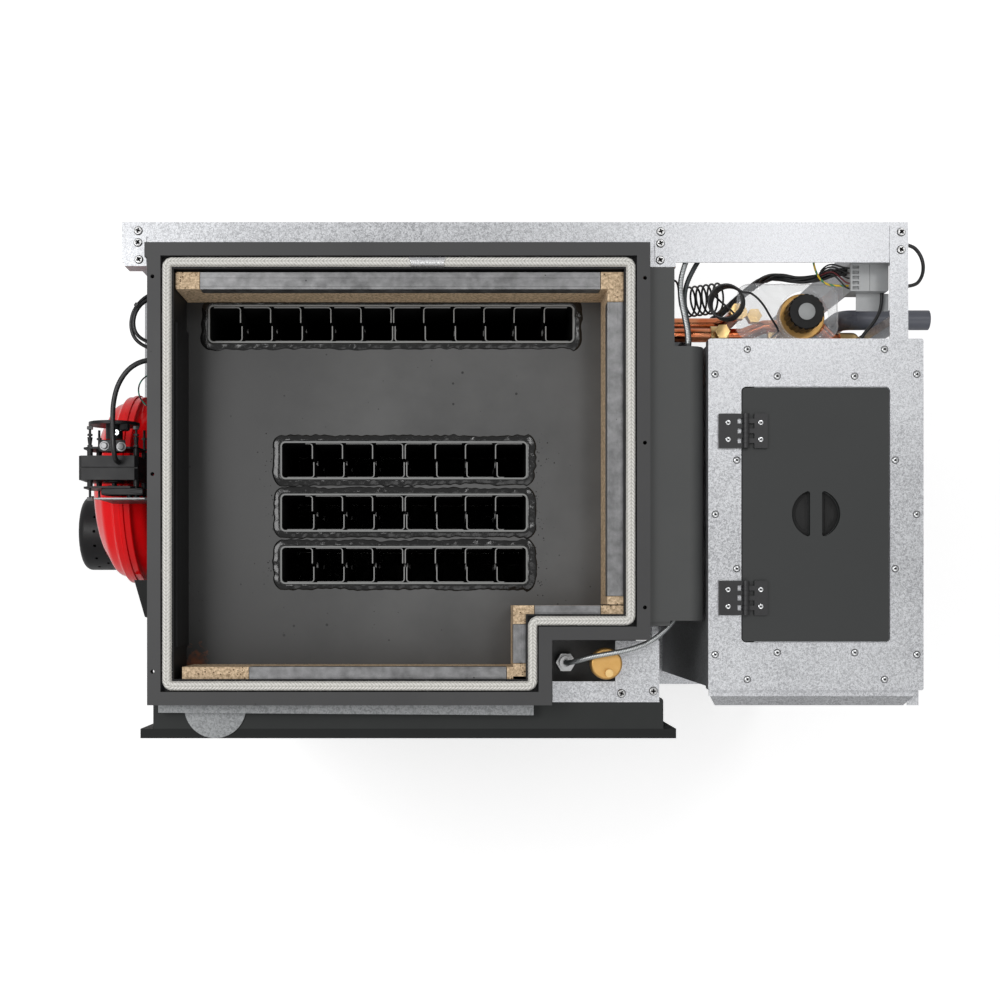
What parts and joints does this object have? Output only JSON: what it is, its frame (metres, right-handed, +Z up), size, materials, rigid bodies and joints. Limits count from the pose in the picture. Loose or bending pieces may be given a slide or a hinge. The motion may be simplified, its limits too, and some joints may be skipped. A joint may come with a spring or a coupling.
{
  "type": "boiler fireplace",
  "caption": "Pellet and log boiler fireplace with its cleaning cover off: flue tubes with turbulators, side pellet hopper with hatch, valves and pipes.",
  "frame": {"origin": "on the floor under the middle of the whole object", "axes": "+X towards the hopper, +Y towards the back, +Z up"},
  "size_m": [1.484, 0.82, 1.1823],
  "materials": {
    "galvanised": "satin",
    "dark_steel": "satin",
    "black_paint": "satin",
    "boiler_grey": "satin",
    "primer_steel": "matt",
    "red_paint": "gloss",
    "steel": "satin",
    "laminated_core": "satin",
    "vermiculite": "matt",
    "cast_iron": "matt",
    "glass": "gloss",
    "copper": "satin",
    "brass": "satin",
    "black_plastic": "matt",
    "grey_plastic": "satin",
    "rope_fibre": "matt",
    "cable_rubber": "matt",
    "armour": "satin",
    "clear_film": "gloss"
  },
  "bodies": {
    "boiler": {"cover_flange": "primer_steel", "chamber_walls": "primer_steel", "rope_gasket": "rope_fibre", "left_wall_panel": "steel", "lining_boards": "vermiculite", "board_clips": "steel", "tube_plate": "primer_steel", "flue_tubes": "primer_steel", "turbulators": "steel", "firebox_shell": "boiler_grey", "boiler_jacket": "boiler_grey", "firebox_lining": "vermiculite", "brazier": "cast_iron", "front_box": "dark_steel", "front_frame": "dark_steel", "door_hinges": "black_paint", "front_trim": "galvanised", "base_frame": "black_paint", "levelling_feet": "steel", "frame_posts": "galvanised", "top_rails": "galvanised", "frame_screws": "steel", "auger_casing": "dark_steel", "hopper_collar": "galvanised", "hopper_rivets": "steel", "hinge_bases": "black_plastic", "hopper_body": "galvanised", "auger_tube": "steel", "auger_motor": "black_paint", "smoke_box": "boiler_grey", "fan_housing": "steel", "fan_guard": "black_plastic", "expansion_vessel": "red_paint", "vessel_bracket": "black_paint", "motor_core": "laminated_core", "motor_brackets": "steel", "corner_plates": "galvanised", "thermowell": "brass", "air_vent": "brass", "copper_pipes": "copper", "brass_fittings": "brass", "mixing_valve": "brass", "circulation_pump": "cast_iron", "drain_pipe": "grey_plastic", "control_box": "grey_plastic", "capillary_coils": "cable_rubber", "sensor_conduits": "armour", "cables": "cable_rubber", "valve_bag": "clear_film"},
    "fire_door": {"door_frame": "black_paint", "door_glass": "glass"},
    "door_handle": {"door_handle": "steel"},
    "ash_drawer": {"ash_drawer": "black_paint"},
    "hatch": {"hopper_hatch": "dark_steel", "hinge_flaps": "black_plastic"},
    "valve_knob": {"valve_knob": "black_plastic"},
    "fan_impeller": {"fan_impeller": "steel"},
    "motor_rotor": {"motor_rotor": "steel"},
    "auger_screw": {"auger_screw": "steel"},
    "air_vent_cap": {"air_vent_cap": "brass"}
  },
  "joints": [
    {"name": "hatch_hinge", "type": "hinge", "parent": "boiler", "child": "hatch", "pos_m": [0.40875, -0.033, 1.1755], "axis": [0, -1, 0], "range_deg": [0, 110]},
    {"name": "door_hinge", "type": "hinge", "parent": "boiler", "child": "fire_door", "pos_m": [-0.429, -0.3855, 0.6], "axis": [0, 0, -1], "range_deg": [0, 110]},
    {"name": "handle_turn", "type": "hinge", "parent": "fire_door", "child": "door_handle", "pos_m": [0.188, -0.38, 0.6], "axis": [0, 1, 0], "range_deg": [0, 90]},
    {"name": "ash_drawer_slide", "type": "slide", "parent": "boiler", "child": "ash_drawer", "axis": [0, -1, 0], "range_m": [0, 0.32]},
    {"name": "knob_turn", "type": "hinge", "parent": "boiler", "child": "valve_knob", "pos_m": [0.522, 0.2896, 1.06], "axis": [0, 0, 1], "range_deg": [0, 300]},
    {"name": "fan_spin", "type": "hinge", "parent": "boiler", "child": "fan_impeller", "pos_m": [-0.57, -0.0323, 0.54], "axis": [1, 0, 0], "continuous": true},
    {"name": "motor_spin", "type": "hinge", "parent": "boiler", "child": "motor_rotor", "pos_m": [-0.572, 0.0457, 1.04], "axis": [0, 1, 0], "continuous": true},
    {"name": "auger_spin", "type": "hinge", "parent": "boiler", "child": "auger_screw", "pos_m": [0.59, -0.04, 0.3], "axis": [-0.7431, 0, 0.6691], "continuous": true},
    {"name": "vent_cap_turn", "type": "hinge", "parent": "boiler", "child": "air_vent_cap", "pos_m": [0.2053, -0.2731, 1.154], "axis": [0, 0, 1], "range_deg": [0, 340]}
  ]
}
